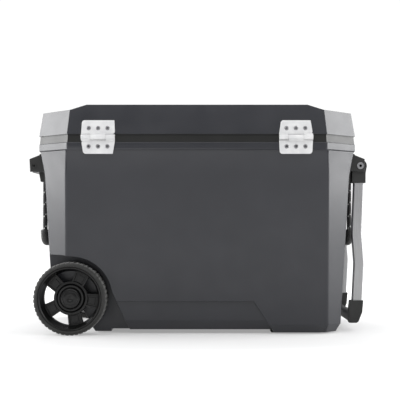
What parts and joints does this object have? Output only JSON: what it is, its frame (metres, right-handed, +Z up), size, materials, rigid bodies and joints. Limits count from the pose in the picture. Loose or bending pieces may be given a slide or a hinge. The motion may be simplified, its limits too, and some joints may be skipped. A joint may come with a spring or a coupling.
{
  "type": "wheeled cooler",
  "caption": "Hard-sided insulated cooler with a hinged latching lid, wheels at one end, a swing-up tow handle at the other, rope lift handles and a drain.",
  "frame": {"origin": "on the ground, under the middle of the bounding box", "axes": "+X towards the tow handle's end (the wheels are at -X), +Y towards the latch side (the hinges are at -Y), +Z up"},
  "size_m": [0.7375, 0.4556, 0.487],
  "materials": {
    "shell": "fine moulded grain",
    "liner": "smooth moulded",
    "tray": "satin moulded",
    "foam": "closed-cell foam",
    "seal": "soft extruded",
    "hinge_metal": "satin white",
    "steel": "machined",
    "trim": "fine moulded grain",
    "wheel": "semi-gloss moulded",
    "tyre": "moulded tread",
    "aluminium": "brushed lengthwise",
    "rope": "braided with a light tracer",
    "grip": "moulded soft grip",
    "foot": "moulded"
  },
  "bodies": {
    "body": {"body_shell": "shell", "cavity_liner": "liner", "body_insulation": "foam", "hinge_body_leaf_left": "hinge_metal", "hinge_body_leaf_right": "hinge_metal", "hinge_pin_left": "steel", "hinge_pin_right": "steel", "hinge_body_screws": "steel", "keeper_screws": "steel", "axle": "steel", "axle_retainers": "steel", "bracket_screws_left": "steel", "bracket_screws_right": "steel", "foot_screws": "steel", "tow_pivot_back": "steel", "tow_pivot_front": "steel", "handle_bracket_left": "trim", "handle_bracket_right": "trim", "latch_keeper_left": "trim", "latch_keeper_right": "trim", "strap_bushes": "trim", "drain_spout": "trim", "axle_spacers": "trim", "foot_pads": "foot"},
    "lid": {"lid_shell": "shell", "lid_insulation": "foam", "lid_liner": "tray", "tray_insulation": "foam", "lid_gasket": "seal", "hinge_lid_leaf_left": "hinge_metal", "hinge_lid_leaf_right": "hinge_metal", "hinge_lid_screws": "steel", "latch_mount_left": "trim", "latch_mount_right": "trim", "latch_pins": "steel", "latch_screws": "steel"},
    "latch_left": {"latch_lever_left": "trim"},
    "latch_right": {"latch_lever_right": "trim"},
    "wheel_back": {"wheel_rim_back": "wheel", "wheel_tyre_back": "tyre", "hub_cap_back": "wheel"},
    "wheel_front": {"wheel_rim_front": "wheel", "wheel_tyre_front": "tyre", "hub_cap_front": "wheel"},
    "tow_handle": {"tow_arm_back": "aluminium", "tow_arm_front": "aluminium", "tow_socket_back": "trim", "tow_socket_front": "trim", "tow_grip": "trim"},
    "rope_handle_left": {"handle_rope_left": "rope", "rope_anchors_left": "trim", "rope_grip_left": "grip"},
    "rope_handle_right": {"handle_rope_right": "rope", "rope_anchors_right": "trim", "rope_grip_right": "grip"},
    "drain_plug": {"drain_cap": "trim", "drain_seal": "seal"}
  },
  "joints": [
    {"name": "lid_hinge", "type": "hinge", "parent": "body", "child": "lid", "pos_m": [0, -0.221, 0.417], "axis": [1, 0, 0], "range_deg": [0, 105]},
    {"name": "latch_left_hinge", "type": "hinge", "parent": "lid", "child": "latch_left", "pos_m": [-0.19, 0.223, 0.44], "axis": [1, 0, 0], "range_deg": [0, 100]},
    {"name": "latch_right_hinge", "type": "hinge", "parent": "lid", "child": "latch_right", "pos_m": [0.19, 0.223, 0.44], "axis": [1, 0, 0], "range_deg": [0, 100]},
    {"name": "wheel_back_spin", "type": "hinge", "parent": "body", "child": "wheel_back", "pos_m": [-0.268, -0.186, 0.077], "axis": [0, 1, 0], "continuous": true},
    {"name": "wheel_front_spin", "type": "hinge", "parent": "body", "child": "wheel_front", "pos_m": [-0.268, 0.186, 0.077], "axis": [0, 1, 0], "continuous": true},
    {"name": "tow_handle_hinge", "type": "hinge", "parent": "body", "child": "tow_handle", "pos_m": [0.3565, 0, 0.3615], "axis": [0, -1, 0], "range_deg": [0, 135]},
    {"name": "rope_handle_left_hinge", "type": "hinge", "parent": "body", "child": "rope_handle_left", "pos_m": [-0.34, 0, 0.338], "axis": [0, 1, 0], "range_deg": [0, 80]},
    {"name": "rope_handle_right_hinge", "type": "hinge", "parent": "body", "child": "rope_handle_right", "pos_m": [0.34, 0, 0.338], "axis": [0, -1, 0], "range_deg": [0, 80]},
    {"name": "drain_plug_slide", "type": "slide", "parent": "body", "child": "drain_plug", "axis": [1, 0, 0], "range_m": [0, 0.02]}
  ]
}
